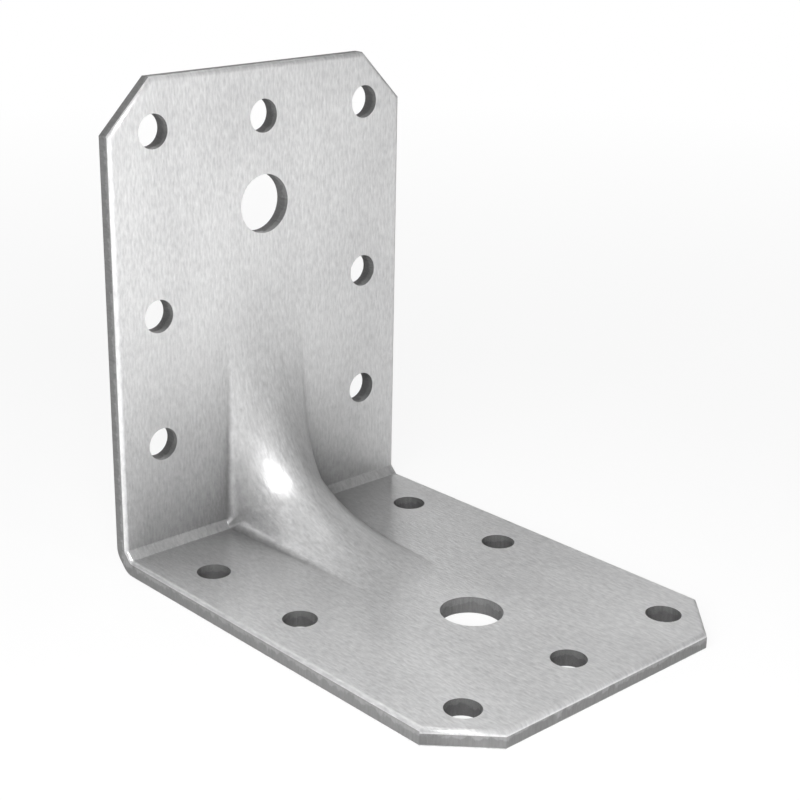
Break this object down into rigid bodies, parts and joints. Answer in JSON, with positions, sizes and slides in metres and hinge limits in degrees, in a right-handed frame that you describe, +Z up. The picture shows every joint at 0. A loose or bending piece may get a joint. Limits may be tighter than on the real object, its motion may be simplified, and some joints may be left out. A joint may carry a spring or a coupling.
{
  "type": "reinforced angle bracket",
  "caption": "Right-angle bracket folded from perforated galvanised steel sheet, with chamfered leg ends and a stiffening rib pressed through the bend.",
  "frame": {"origin": "corner at mid-width where the plane of the upright leg's back meets the plane of the base leg's underside", "axes": "+Z up the upright leg, X across the sheet, and -Y along the base leg away from the upright"},
  "size_m": [0.0656, 0.088, 0.088],
  "materials": {
    "galvanised_steel": "satin"
  },
  "bodies": {
    "root": {"bracket": "galvanised_steel"}
  },
  "joints": []
}
